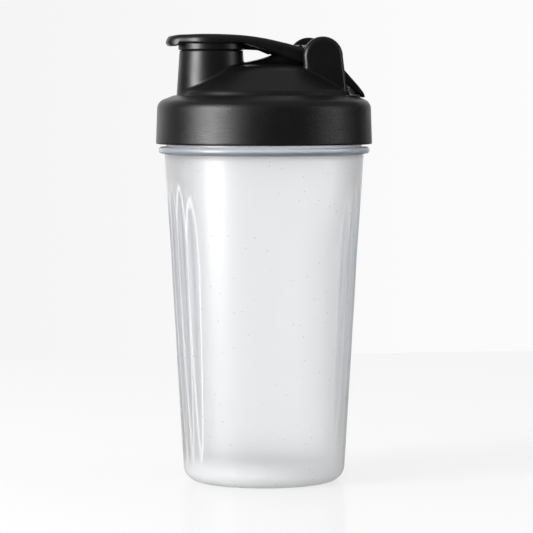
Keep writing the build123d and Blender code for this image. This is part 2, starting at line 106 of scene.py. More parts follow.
def rounded_outline(corners, row_height=math.inf):
    """Points along an outline of (across, up, rounding) corners, with long runs cut into rows."""
    places = [np.array(corner[:2], float) for corner in corners]
    points = [places[0]]
    for before, (*corner, rounding), after in zip(places, corners[1:-1], places[2:]):
        here = np.array(corner, float)
        if rounding == 0:
            points.append(here)
            continue
        back, ahead = before - here, after - here
        back, ahead = back / np.linalg.norm(back), ahead / np.linalg.norm(ahead)
        half_angle = math.acos(np.clip(back @ ahead, -1, 1)) / 2
        middle = (back + ahead) / np.linalg.norm(back + ahead)
        centre = here + middle * rounding / math.sin(half_angle)
        reach = rounding / math.tan(half_angle)
        start, end = here + back * reach - centre, here + ahead * reach - centre
        turn = math.atan2(start[0] * end[1] - start[1] * end[0], start @ end)
        steps = max(3, math.ceil(abs(turn) * rounding / 0.4))
        for angle in np.linspace(0, turn, steps + 1):
            c, s = math.cos(angle), math.sin(angle)
            points.append(centre + (start[0] * c - start[1] * s, start[0] * s + start[1] * c))
    points.append(places[-1])
    rows = [points[0]]
    for point in points[1:]:
        cuts = max(1, math.ceil(np.linalg.norm(point - rows[-1]) / row_height))
        rows += list(np.linspace(rows[-1], point, cuts + 1)[1:])
    return np.array(rows)


def polygon(across, up, corners):
    """Signed distance to a closed polygon in the plane of across and up."""
    nearest = np.full(across.shape, np.inf, across.dtype)
    inside = np.zeros(across.shape, bool)
    for (x0, z0), (x1, z1) in zip(corners, corners[1:] + corners[:1]):
        run, rise = x1 - x0, z1 - z0
        share = np.clip(((across - x0) * run + (up - z0) * rise) / (run * run + rise * rise), 0, 1)
        dx, dz = across - x0 - share * run, up - z0 - share * rise
        nearest = np.minimum(nearest, dx * dx + dz * dz)
        if z0 != z1:
            spans = (z0 > up) != (z1 > up)
            inside ^= spans & (across < run * (up - z0) / rise + x0)
    return np.where(inside, -1, 1) * np.sqrt(nearest)


def tabulated(corners, step=0.1):
    """A field of (across, up) for a closed outline of rounded corners, from a fine table of distances."""
    outline = [tuple(point) for point in rounded_outline(corners)]
    low = np.min(outline, axis=0) - 3
    sizes = ((np.max(outline, axis=0) + 3 - low) / step).astype(int) + 1
    grid = np.meshgrid(*(low[i] + step * np.arange(sizes[i]) for i in (0, 1)), indexing="ij")
    table = polygon(*grid, outline)

    def field(across, up):
        u = np.clip((across - low[0]) / step, 0, sizes[0] - 1.001)
        v = np.clip((up - low[1]) / step, 0, sizes[1] - 1.001)
        i, j = u.astype(int), v.astype(int)
        u, v = u - i, v - j
        near = table[i, j] * (1 - u) + table[i + 1, j] * u
        far = table[i, j + 1] * (1 - u) + table[i + 1, j + 1] * u
        return near * (1 - v) + far * v

    return field


def smooth_curve(knots, at):
    """A smooth curve through knots, by cubic Hermite spans with finite-difference slopes."""
    x, y = (np.array(column, float) for column in zip(*knots))
    slope = np.gradient(y, x)
    span = np.clip(np.searchsorted(x, at) - 1, 0, len(x) - 2)
    width = x[span + 1] - x[span]
    t = (at - x[span]) / width
    return (
        (2 * t**3 - 3 * t**2 + 1) * y[span]
        + (t**3 - 2 * t**2 + t) * width * slope[span]
        + (3 * t**2 - 2 * t**3) * y[span + 1]
        + (t**3 - t**2) * width * slope[span + 1]
    )


def surface_net(field, low, high, step):
    """Points and quads of the closed surface where field is zero, in a box from low to high."""
    axes = [np.arange(low[i] - step, high[i] + 2 * step, step) for i in range(3)]
    shape = [len(axis) for axis in axes]
    values = np.empty(shape, np.float32)
    for k, z in enumerate(axes[2]):
        x, y = np.meshgrid(axes[0], axes[1], indexing="ij")
        values[:, :, k] = field(x, y, np.full_like(x, z))
    inside = values < 0
    corners = [(i, j, k) for i in (0, 1) for j in (0, 1) for k in (0, 1)]
    cells = tuple(n - 1 for n in shape)

    def corner_view(array, corner):
        return array[tuple(slice(c, c + n) for c, n in zip(corner, cells))]

    count = sum(corner_view(inside, c).astype(np.int8) for c in corners)
    active = (count > 0) & (count < 8)
    where = np.argwhere(active)
    number = np.full(cells, -1, np.int64)
    number[active] = np.arange(len(where))
    total, crossings = np.zeros((len(where), 3)), np.zeros(len(where))
    for a in corners:
        for axis in range(3):
            if a[axis]:
                continue
            b = tuple(c + (axis == i) for i, c in enumerate(a))
            value_a = values[tuple((where + a).T)].astype(float)
            value_b = values[tuple((where + b).T)].astype(float)
            crossed = (value_a < 0) != (value_b < 0)
            share = np.where(crossed, value_a / np.where(crossed, value_a - value_b, 1), 0)
            point = np.array(a, float) + share[:, None] * (np.arange(3) == axis)
            total += point * crossed[:, None]
            crossings += crossed
    origin = np.array([axis[0] for axis in axes])
    points = origin + step * (where + total / crossings[:, None])
    quads = []
    for axis in range(3):
        u, v = (axis + 1) % 3, (axis + 2) % 3
        edge = [slice(1, n - 1) for n in shape]
        edge[axis] = slice(0, shape[axis] - 1)
        after = list(edge)
        after[axis] = slice(1, shape[axis])
        first, second = inside[tuple(edge)], inside[tuple(after)]
        for start_inside in (True, False):
            at = np.argwhere((first == start_inside) & (second != start_inside))
            at += [0 if i == axis else 1 for i in range(3)]
            ring = []
            for du, dv in ((1, 1), (0, 1), (0, 0), (1, 0)):
                cell = at.copy()
                cell[:, u] -= du
                cell[:, v] -= dv
                ring.append(number[tuple(cell.T)])
            quads.append(np.stack(ring if start_inside else ring[::-1], axis=1))
    return points, np.concatenate(quads)


def settle(field, points, rounds=3, reach=0.02):
    """Move points onto the surface where field is zero, along its slope."""
    for _ in range(rounds):
        value = field(*points.T)
        slope = np.empty_like(points)
        for axis in range(3):
            shift = reach * (np.arange(3) == axis)
            slope[:, axis] = (field(*(points + shift).T) - field(*(points - shift).T)) / (2 * reach)
        length2 = np.maximum((slope * slope).sum(1), 0.05)
        points = points - np.clip(value / length2, -0.3, 0.3)[:, None] * slope
    return points


def mesh_object(name, points, faces):
    """A smooth-shaded mesh object from points in millimetres."""
    mesh = bpy.data.meshes.new(name)
    mesh.from_pydata((points * MM).tolist(), [], faces)
    mesh.shade_smooth()
    mesh.update()
    piece = bpy.data.objects.new(name, mesh)
    bpy.context.scene.collection.objects.link(piece)
    return piece


def implicit_object(name, field, low, high, step):
    """A mesh object of the solid where field is negative."""
    points, quads = surface_net(field, low, high, step)
    return mesh_object(name, settle(field, points), quads.tolist())


# --- the lid and the other black mouldings --------------------------------------------------------
LID_GRID = 0.55
EAR_LEAN_FRONT, EAR_LEAN_BACK = 0.085, 0.128
SADDLE_KNOTS = [
    (-12, 181.6),
    (-10.5, 182.2),
    (-4.3, 184.0),
    (2.2, 186.2),
    (7.0, 187.8),
    (11.5, 187.6),
    (16.4, 181.0),
]
SADDLE_X = np.linspace(SADDLE_KNOTS[0][0], SADDLE_KNOTS[-1][0], 120)
SADDLE_CREST = smooth_curve(SADDLE_KNOTS, SADDLE_X)
SADDLE_MIDDLE_X, SADDLE_HALF_LENGTH, SADDLE_FOOT_Z = 2.2, 14.2, 176
LID_TOP = tabulated(
    [
        (-20, COLLAR_Z, 0),
        (COLLAR_RADIUS, COLLAR_Z, 0.6),
        (COLLAR_TOP_RADIUS, SHOULDER_Z - SHOULDER_SLOPE * (COLLAR_TOP_RADIUS - SHOULDER_RADIUS), 4.5),
        (SHOULDER_RADIUS, SHOULDER_Z, 0.5),
        (38.3, 168.7, 0.3),
        (37.7, 169.2, 0.3),
        (36.9, 171.2, 1.2),
        (22.0, 181.6, 15),
        (0, DOME_TOP_Z, 0),
        (-20, DOME_TOP_Z, 0),
    ]
)
LID_HOLLOW = tabulated(
    [
        (-20, COLLAR_Z - 3, 0),
        (SKIRT_BORE, COLLAR_Z - 3, 0),
        (SKIRT_BORE, CEILING_Z, 0.9),
        (PLUG_RING_OUTER, CEILING_Z, 0.4),
        (PLUG_RING_OUTER, PLUG_RING_Z, 0.4),
        (PLUG_RING_INNER, PLUG_RING_Z, 0.3),
        (PLUG_RING_INNER, SNAP_Z - 0.7, 0.3),
        (SNAP_GROOVE_RADIUS, SNAP_Z - 0.3, 0.3),
        (SNAP_GROOVE_RADIUS, SNAP_Z + 0.3, 0.3),
        (PLUG_RING_INNER, SNAP_Z + 0.7, 0.3),
        (PLUG_RING_INNER, CEILING_Z + 0.6, 0.8),
        (35.6, 169.8, 2),
        (21.2, 179.8, 8),
        (0, DOME_TOP_Z - 2, 0),
        (-20, DOME_TOP_Z - 2, 0),
    ]
)


def turned_thread(x, y, z, wall, depth, first_z, turns, phase):
    """Distance to a screw thread's ridges, which fade at both ends; depth is negative in a bore."""
    radius, around = np.hypot(x, y), np.arctan2(y, x)
    nearest = np.full(x.shape, np.inf)
    taper = (THREAD_ROOT_WIDTH - THREAD_CREST_WIDTH) / 2 / abs(depth)
    for start in range(THREAD_STARTS):
        turned = np.mod(around - phase - 2 * math.pi * start / THREAD_STARTS, 2 * math.pi)
        from_end = np.minimum(turned, turns * 2 * math.pi - turned)
        height = abs(depth) * np.clip(from_end / THREAD_RAMP, -1, 1)
        outwards = (radius - wall) * np.sign(depth)
        half_width = THREAD_ROOT_WIDTH / 2 - taper * outwards
        flank = np.abs(z - first_z - THREAD_LEAD * turned / (2 * math.pi)) - half_width
        ridge = round_and(round_and(flank * 0.95, outwards - height, 0.25), -0.5 - outwards, 0.05)
        nearest = np.minimum(nearest, ridge)
    return nearest


def saddle_height(x):
    """Top of the raised pad between the spout and the hinge."""
    return np.interp(x, SADDLE_X, SADDLE_CREST)


def ear_field(x, y, z):
    """The two D-shaped hinge ears."""
    dx, dz = x - EAR_X, z - EAR_Z
    front = -(dx + EAR_RADIUS + EAR_LEAN_FRONT * dz)
    back = dx - EAR_RADIUS + EAR_LEAN_BACK * dz
    outline = np.where(dz > 0, np.hypot(dx, dz) - EAR_RADIUS, np.maximum(front, back))
    side = np.abs(y)
    return round_and(round_and(outline, side - EAR_OUTER_Y, 2.2), EAR_INNER_Y - side, 0.5)


def lid_outside(x, y, z):
    """The lid as a solid block: collar, shoulder, groove, dome, spout, saddle and ears."""
    body = LID_TOP(np.hypot(x, y), z)
    along = np.clip((z - SPOUT_FOOT_Z) / (SPOUT_SHOULDER_Z - SPOUT_FOOT_Z), 0, 1)
    from_spout = np.hypot(x - SPOUT_X, y)
    tube = from_spout - (SPOUT_FOOT_RADIUS + (SPOUT_RADIUS - SPOUT_FOOT_RADIUS) * along)
    tube = np.maximum(round_and(tube, z - SPOUT_SHOULDER_Z, 0.35), SPOUT_FOOT_Z - 5 - z)
    neck = round_and(from_spout - SPOUT_NECK_RADIUS, z - SPOUT_TOP_Z, 0.4)
    neck = np.maximum(neck, SPOUT_SHOULDER_Z - 5 - z)
    pad = round_and((z - saddle_height(x)) * 0.9, np.abs(y) - SADDLE_HALF_WIDTH, 2.2)
    pad = np.maximum(pad, SADDLE_FOOT_Z - z)
    pad = round_and(pad, np.abs(x - SADDLE_MIDDLE_X) - SADDLE_HALF_LENGTH, 1.0)
    solid = round_or(body, pad, 2.5)
    solid = round_or(solid, tube, 0.9)
    solid = np.minimum(solid, neck)
    return round_or(solid, ear_field(x, y, z), 0.8)


def lid_field(x, y, z):
    """The hollow lid, with its bore, plug ring, inside thread and hinge bores."""
    hollow = LID_HOLLOW(np.hypot(x, y), z)
    from_spout = np.hypot(x - SPOUT_X, y)
    bore = round_and(from_spout - SPOUT_BORE, z - SPOUT_MOUTH_Z, 0.6)
    bore = np.minimum(bore, from_spout - SPOUT_MOUTH)
    bore = np.maximum(bore, CEILING_Z - 3 - z)
    pin_hole = np.maximum(np.hypot(x - HINGE_X, z - HINGE_Z) - PIN_RADIUS, PIN_BLIND_Y - y)
    solid = np.maximum(lid_outside(x, y, z), -hollow)
    solid = round_and(solid, -bore, 0.35)
    solid = np.maximum(solid, -pin_hole)
    mesh_rise = LID_THREAD_Z - CUP_THREAD_Z + THREAD_LEAD / THREAD_STARTS / 2
    phase = 2 * math.pi * mesh_rise / THREAD_LEAD
    ridges = turned_thread(x, y, z, SKIRT_BORE, -THREAD_DEPTH, LID_THREAD_Z, LID_THREAD_TURNS, phase)
    return np.minimum(solid, ridges)


def make_lid():
    """The lid as one moulding."""
    low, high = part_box("lid")
    piece = implicit_object("lid_moulding", lid_field, low / MM, high / MM, LID_GRID)
    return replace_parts(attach(piece, "lid_body"), "lid")


# --- the flip cap ---------------------------------------------------------------------------------
CAP_GRID = 0.35
CAP_DISC_RADIUS, ARM_HALF_WIDTH, ARM_STRAIGHT_X = 15.6, 10.4, 6.0
TAB_X, TAB_RADIUS = -43.6, 10.3
CAP_SKIRT_OUTER, CAP_SKIRT_INNER, CAP_SKIRT_Z, CAP_DISC_Z = 14.35, 13.0, 189.0, 192.2
CAP_SKIN, CAP_WALL = 1.8, 1.7
ARM_HOLLOW_X, ARM_HOLLOW_LENGTH = 4.6, 24.0
BARREL_RADIUS, RUNNING_RADIUS = 4.1, 2.05
STOP_X, STOP_Z, STOP_RADIUS = 17.2, 190.3, 0.9
LIP_X, LIP_Z, LIP_RADIUS = 14.6, 190.2, 1.0
CAP_CROWN = 0.35
SEAL_SPIGOT_RADIUS, SEAL_TOP_Z = 9.0, 193.2
CAP_CREST = [
    (TAB_X, 193.0),
    (TAB_X + 1.0, 194.4),
    (-40.4, 195.2),
    (-34.0, 195.8),
    (-22.0, 196.0),
    (-10.4, 195.4),
    (-1.5, 194.2),
    (7.4, 192.3),
    (16.2, 190.2),
    (HINGE_X, 189.3),
]
CAP_UNDERSIDE = [
    (HINGE_X, 182.7),
    (20.0, 182.9),
    (14.1, 183.7),
    (7.4, 186.4),
    (-0.1, 188.9),
    (-8.2, 191.2),
    (-11.5, CAP_DISC_Z),
    (-38.4, CAP_DISC_Z),
    (-38.9, 191.0),
    (-40.4, 190.6),
    (-42.1, 190.8),
    (TAB_X + 0.3, 191.9),
]
CAP_RIB_HALF_WIDTH = 0.9
CAP_RIB = [(-9.5, 193.4), (-9.5, 189.2), (-2.7, 188.9), (2.2, 186.9), (2.2, 191.6)]
CREST_X = np.linspace(TAB_X, HINGE_X, 160)
CREST_Z = smooth_curve(CAP_CREST, CREST_X)
CAP_SIDE = tabulated(
    [(x, z, 0) for x, z in zip(CREST_X, CREST_Z)]
    + [(x, z, 0.5) for x, z in CAP_UNDERSIDE]
    + [(TAB_X + 0.1, 192.63, 0)]
)
ARM_TAPER = (CAP_DISC_RADIUS - 0.5 - ARM_HALF_WIDTH) / (ARM_STRAIGHT_X - SPOUT_X - 4)


def cap_field(x, y, z):
    """The flip cap: a crowned plate with a thumb tab, a skirt, a hollow ribbed arm and a hinge barrel."""
    side = np.abs(y)
    disc = np.hypot(x - SPOUT_X, y) - CAP_DISC_RADIUS
    tab = np.hypot(x - TAB_X - TAB_RADIUS, y) - TAB_RADIUS
    narrowing = ARM_TAPER * np.minimum(x - ARM_STRAIGHT_X, 0)
    flank = (side - ARM_HALF_WIDTH + narrowing) / math.hypot(1, ARM_TAPER)
    arm = np.maximum(flank, np.maximum(SPOUT_X + 4 - x, x - HINGE_X))
    plan = blend_or(np.minimum(disc, arm), tab, 0.5)
    crown = CAP_CROWN * (y / CAP_DISC_RADIUS) ** 2
    top = np.interp(x, CREST_X, CREST_Z) - crown
    plate = round_and(plan, CAP_SIDE(x, z + crown), 0.7)
    plate = np.maximum(plate, round_and(plan, (z - top) * 0.97, 2.2))
    hollow_end = np.abs(x - ARM_HOLLOW_X) - ARM_HOLLOW_LENGTH / 2
    hollow = round_and(hollow_end, side - ARM_HALF_WIDTH + CAP_WALL, 2.0)
    hollow = round_and(hollow, (z - top + CAP_SKIN) * 0.97, 0.8)
    plate = round_and(plate, -hollow, 0.3)
    rib = round_and(polygon(x, z, CAP_RIB), side - CAP_RIB_HALF_WIDTH, 0.3)
    from_pin = np.hypot(x - HINGE_X, z - HINGE_Z)
    barrel = round_and(from_pin - BARREL_RADIUS, side - ARM_HALF_WIDTH, 0.4)
    lip = round_and(np.hypot(x - LIP_X, z - LIP_Z) - LIP_RADIUS, side - ARM_HALF_WIDTH + 1.4, 0.6)
    stop = round_and(np.hypot(x - STOP_X, z - STOP_Z) - STOP_RADIUS, side - ARM_HALF_WIDTH + 1.2, 0.4)
    from_spout = np.hypot(x - SPOUT_X, y)
    skirt_middle = (CAP_SKIRT_OUTER + CAP_SKIRT_INNER) / 2
    skirt_wall = np.abs(from_spout - skirt_middle) - CAP_SKIRT_OUTER + skirt_middle
    skirt = round_and(skirt_wall, CAP_SKIRT_Z - z, 0.3)
    skirt = np.maximum(skirt, z - CAP_DISC_Z - 1)
    solid = round_or(plate, skirt, 0.25)
    solid = round_or(solid, rib, 0.3)
    solid = round_or(solid, barrel, 0.8)
    solid = round_or(solid, np.minimum(lip, stop), 0.4)
    solid = np.maximum(solid, RUNNING_RADIUS - from_pin)
    return np.maximum(solid, -np.maximum(from_spout - SEAL_SPIGOT_RADIUS, z - SEAL_TOP_Z))


def make_flip_cap():
    """The flip cap as one moulding."""
    low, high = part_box("flip_cap")
    piece = implicit_object("flip_cap_moulding", cap_field, low / MM, high / MM, CAP_GRID)
    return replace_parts(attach(piece, "cap_body"), "flip_cap")


# --- the carry loop -------------------------------------------------------------------------------
LOOP_GRID = 0.3
LOOP_FOLD = math.radians(-48)
LOOP_OUTER_Y, LOOP_INNER_Y, LOOP_EYE_RADIUS = 14.2, 10.75, 4.2
LOOP_WINDOW_END, LOOP_NOSE = 20.6, 27.8
LOOP_SIDE = [
    (0, 3.8),
    (25.4, 3.8),
    (LOOP_NOSE - 0.2, 3.45),
    (26.2, 2.8),
    (23.9, 1.75),
    (LOOP_WINDOW_END, 1.1),
    (16.0, 0.2),
    (2.5, -2.6),
    (0, -2.6),
]


def rounded_slab(along, across, end, half_width, corner):
    """Distance to a strip of half_width that ends at end, with round corners."""
    return round_and(along - end, np.abs(across) - half_width, corner)


def loop_field(x, y, z):
    """The carry loop, folded down behind the ears."""
    dx, dz = x - HINGE_X, z - HINGE_Z
    along = dx * math.cos(LOOP_FOLD) + dz * math.sin(LOOP_FOLD)
    outwards = dz * math.cos(LOOP_FOLD) - dx * math.sin(LOOP_FOLD)
    from_pin = np.hypot(dx, dz)
    outline = round_or(polygon(along, outwards, LOOP_SIDE), from_pin - LOOP_EYE_RADIUS, 0.3)
    solid = round_and(outline, rounded_slab(along, y, LOOP_NOSE, LOOP_OUTER_Y, 8.0), 0.6)
    solid = round_and(solid, -rounded_slab(along, y, LOOP_WINDOW_END, LOOP_INNER_Y, 5.0), 0.5)
    return np.maximum(solid, RUNNING_RADIUS - from_pin)


def make_carry_loop():
    """The carry loop as one moulding."""
    low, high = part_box("carry_loop")
    piece = implicit_object("carry_loop_moulding", loop_field, low / MM, high / MM, LOOP_GRID)
    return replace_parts(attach(piece, "loop_body"), "carry_loop")


# --- the cup --------------------------------------------------------------------------------------
CUP_SIDES = 480  # columns 0.75 degrees apart, so that one runs along each crest between two flutes
OUTSIDE_ROW, NECK_ROW, INSIDE_ROW = 2.4, 0.6, 8.0
# Depths over which the crest band and the hollow mask ramp up; they carry painted highlight lines and painted
# shade.
CREASE_BAND, HOLLOW_BAND = 0.35, 0.3


def cone_radius(height):
    """Outer radius of the cup's wall."""
    return WALL_BASE_RADIUS + (WALL_TOP_RADIUS - WALL_BASE_RADIUS) * height / BEAD_LOW_Z


def flutes(around, height):
    """How deep the grip flutes are cut, and how close a point is to one of their edges, from 0 to 1."""
    middle = (FLUTES_PER_PANEL - 1) / 2
    radius = cone_radius(height)
    deepest, middle_depth = np.zeros(height.shape), np.zeros(height.shape)
    second = np.full(height.shape, -9.0)
    for flute in range(2 * FLUTES_PER_PANEL):
        place = flute % FLUTES_PER_PANEL - middle
        panel = PANEL_TURN_DEG + 180 * (flute // FLUTES_PER_PANEL)
        angle = math.radians(panel + place * FLUTE_PITCH_DEG)
        top_z = FLUTE_TOP_Z - FLUTE_TOP_DROP * (place / middle) ** 4
        bend_z = top_z - FLUTE_RUN_IN
        deepening = FLUTE_DEPTH / (bend_z - FLUTE_FADE_Z)
        curving = (FLUTE_DEPTH + deepening * FLUTE_RUN_IN) / FLUTE_RUN_IN**2
        above_bend = np.maximum(height - bend_z, 0)
        centre_depth = FLUTE_DEPTH + deepening * (height - bend_z) - curving * above_bend**2
        aside = radius * np.sin(around - angle)
        near = (np.cos(around - angle) > 0) & (np.abs(aside) < FLUTE_BAR_RADIUS)
        bar = FLUTE_BAR_RADIUS - np.sqrt(np.clip(FLUTE_BAR_RADIUS**2 - aside**2, 0, None))
        wall = radius - np.sqrt(np.clip(radius**2 - aside**2, 0, None))
        depth = np.where(near, centre_depth - bar - wall, -9.0)
        second = np.maximum(second, np.minimum(depth, deepest))
        deepest = np.maximum(deepest, depth)
        middle_depth = np.maximum(middle_depth, np.where(near, centre_depth, 0))
    edge_band = CREASE_BAND * np.sqrt(np.clip(middle_depth / FLUTE_DEPTH, 0.02, 1))
    return deepest, 1 - np.clip((deepest - second) / edge_band, 0, 1)


def neck_thread(around, height):
    """How far the screw thread stands out from the cup's neck."""
    rise = np.zeros(around.shape)
    taper = (THREAD_ROOT_WIDTH - THREAD_CREST_WIDTH) / 2
    for start in range(THREAD_STARTS):
        turned = np.mod(around - 2 * math.pi * start / THREAD_STARTS, 2 * math.pi)
        from_end = np.minimum(turned, CUP_THREAD_TURNS * 2 * math.pi - turned)
        off_centre = np.abs(height - CUP_THREAD_Z - THREAD_LEAD * turned / (2 * math.pi))
        flank = np.clip((THREAD_ROOT_WIDTH / 2 - off_centre) / taper, 0, 1)
        rise = np.maximum(rise, THREAD_DEPTH * flank * np.clip(from_end / THREAD_RAMP, 0, 1))
    return rise


def lathe(name, outline, radius, around):
    """A closed turned shell from rings of radii at the outline's heights, with a point at each end."""
    height = np.broadcast_to(outline[1:-1, 1:], radius.shape)
    points = np.stack([radius * np.cos(around), radius * np.sin(around), height], axis=2).reshape(-1, 3)
    ends = [[0, 0, outline[0, 1]], [0, 0, outline[-1, 1]]]
    here = np.arange(CUP_SIDES)
    beside = (here + 1) % CUP_SIDES
    faces = []
    for row in range(len(outline) - 3):
        low, high = row * CUP_SIDES, (row + 1) * CUP_SIDES
        faces += np.stack([low + here, low + beside, high + beside, high + here], axis=1).tolist()
    first, last = len(points), len(points) + 1
    top = len(points) - CUP_SIDES
    faces += np.stack([np.full(CUP_SIDES, first), beside, here], axis=1).tolist()
    faces += np.stack([np.full(CUP_SIDES, last), top + here, top + beside], axis=1).tolist()
    return mesh_object(name, np.concatenate([points, ends]), faces)


def cup_outline():
    """The cup's section: up the outside from the recess to the rim, then down the inside to the floor."""
    bore_low = cone_radius(FLOOR_Z) - WALL
    bead_top = (NECK_RADIUS, BEAD_HIGH_Z)
    under = rounded_outline(
        [
            (0, RECESS_Z, 0),
            (RECESS_RADIUS, RECESS_Z, 0.5),
            (RECESS_RADIUS + RECESS_DRAFT, 0, 0.3),
            (WALL_BASE_RADIUS, 0, BASE_ROUND),
            (WALL_TOP_RADIUS, BEAD_LOW_Z, 0.5),
            (BEAD_RADIUS, BEAD_LOW_Z, 1.3),
            (BEAD_RADIUS, BEAD_HIGH_Z, 1.3),
            (*bead_top, 0),
        ],
        OUTSIDE_ROW,
    )
    neck = rounded_outline([(*bead_top, 0), (NECK_RADIUS, RIM_Z, 0.5), (NECK_BORE, RIM_Z, 0)], NECK_ROW)
    inside = rounded_outline(
        [
            (NECK_BORE, RIM_Z, 0),
            (NECK_BORE, BEAD_HIGH_Z, 1.0),
            (WALL_TOP_RADIUS - WALL, BEAD_LOW_Z, 1.0),
            (bore_low, FLOOR_Z, FLOOR_ROUND),
            (0, FLOOR_Z, 0),
        ],
        INSIDE_ROW,
    )
    return np.concatenate([under, neck[1:], inside[1:]])


def make_cup():
    """The cup as one turned shell, with flutes cut into its wall and a thread raised on its neck.

    Two attributes tell the material where the flutes' edges and their hollows are: it paints highlight lines
    along the edges and shade into the hollows.
    """
    outline = cup_outline()
    radius, height = (np.repeat(outline[1:-1, [i]], CUP_SIDES, axis=1) for i in (0, 1))
    around = np.broadcast_to(2 * math.pi * np.arange(CUP_SIDES) / CUP_SIDES, radius.shape)
    on_wall = np.abs(radius - cone_radius(height)) < 0.02
    on_neck = (np.abs(radius - NECK_RADIUS) < 0.02) & (height > BEAD_HIGH_Z + 1)
    depth, edge = flutes(around, height)
    radius = radius - np.where(on_wall, depth, 0) + np.where(on_neck, neck_thread(around, height), 0)
    piece = lathe("cup_shell", outline, radius, around)
    for name, values in (("painted_crest_highlight", edge), ("hollow", np.clip(depth / HOLLOW_BAND, 0, 1))):
        attribute = piece.data.attributes.new(name, "FLOAT", "POINT")
        attribute.data.foreach_set("value", np.append(np.where(on_wall, values, 0), (0, 0)))
    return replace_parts(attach(piece, "cup_body"), "cup")


lid = make_lid()
flip_cap = make_flip_cap()
carry_loop = make_carry_loop()
cup = make_cup()


# --- materials ------------------------------------------------------------------------------------
def add_node(nodes, links, kind, inputs, settings):
    """A new shader node, with each input given a value or linked to a socket."""
    made = nodes.new(kind)
    for key, value in settings.items():
        setattr(made, key, value)
    for key, value in inputs.items():
        if isinstance(value, bpy.types.NodeSocket):
            links.new(value, made.inputs[key])
        else:
            made.inputs[key].default_value = value
    return made


def new_material(name):
    """A material with its Principled shader, a helper that adds nodes, and its links."""
    material = bpy.data.materials.new(name)
    material.use_nodes = True
    nodes, links = material.node_tree.nodes, material.node_tree.links

    def node(kind, inputs=None, **settings):
        return add_node(nodes, links, kind, inputs or {}, settings)

    return material, nodes["Principled BSDF"], node, links


def ramp(node, value, start, end, low=0.0, high=1.0):
    """Value carried from start and end over to low and high, and held level beyond them."""
    ranges = {"From Min": start, "From Max": end, "To Min": low, "To Max": high}
    return node("ShaderNodeMapRange", {"Value": value, **ranges}).outputs["Result"]


def maths(node, operation, *values, **settings):
    """The result of a Math node."""
    return node("ShaderNodeMath", dict(enumerate(values)), operation=operation, **settings).outputs[0]


def mix(node, share, first, second):
    """The colour that is first where share is 0 and second where it is 1."""
    return node("ShaderNodeMixRGB", {"Fac": share, "Color1": first, "Color2": second}).outputs["Color"]


def black_plastic():
    """Satin black polypropylene: a fine grain with faint level streaks, coarser on the collar."""
    material, shader, node, links = new_material("black_polypropylene")
    place = node("ShaderNodeTexCoord").outputs["Object"]
    grain = node("ShaderNodeTexNoise", {"Vector": place, "Scale": 2400, "Detail": 3, "Roughness": 0.6})
    level = node("ShaderNodeMapping", {"Vector": place, "Scale": (240, 240, 2600)})
    streaks = node("ShaderNodeTexNoise", {"Vector": level.outputs["Vector"], "Scale": 1, "Detail": 4})
    cloud = node("ShaderNodeTexNoise", {"Vector": place, "Scale": 90, "Detail": 4})
    height = node("ShaderNodeSeparateXYZ", {"Vector": place}).outputs["Z"]
    on_collar = ramp(node, height, (SHOULDER_Z - 1.8) * MM, (SHOULDER_Z + 0.7) * MM, 1.0, 0.12)
    relief = maths(node, "ADD", grain.outputs["Fac"], streaks.outputs["Fac"])
    bump = node("ShaderNodeBump", {"Height": relief, "Strength": on_collar, "Distance": 0.0001})
    links.new(ramp(node, grain.outputs["Fac"], 0.35, 0.65, 0.0010, 0.0028), shader.inputs["Base Color"])
    links.new(ramp(node, cloud.outputs["Fac"], 0.3, 0.7, 0.33, 0.41), shader.inputs["Roughness"])
    links.new(bump.outputs["Normal"], shader.inputs["Normal"])
    return material


# The flute colour is painted shade: a darker blue-grey laid into the flute hollows.
CLEAR, PAINTED_FLUTE_SHADE = (0.975, 0.978, 0.984, 1), (0.84, 0.865, 0.905, 1)
# The bead colour is partly the thick plastic's own tint and partly painted shade under the black lid.
BEAD_TINT_AND_PAINTED_SHADE, IN_SPECKS = (0.68, 0.715, 0.77, 1), (0.5, 0.51, 0.53, 1)
BEAD_TINT_Z, BEAD_TINT_FULL, BEAD_TINT_END = 145.3, 1.4, 2.2
MILKY_BASE_Z, CLEAR_WALL_Z = 3.0, 14.0
# The crests are made milkier so that they read as painted highlight lines.
CREST_HIGHLIGHT_MILKINESS, BEAD_MILKINESS = 0.28, 0.1


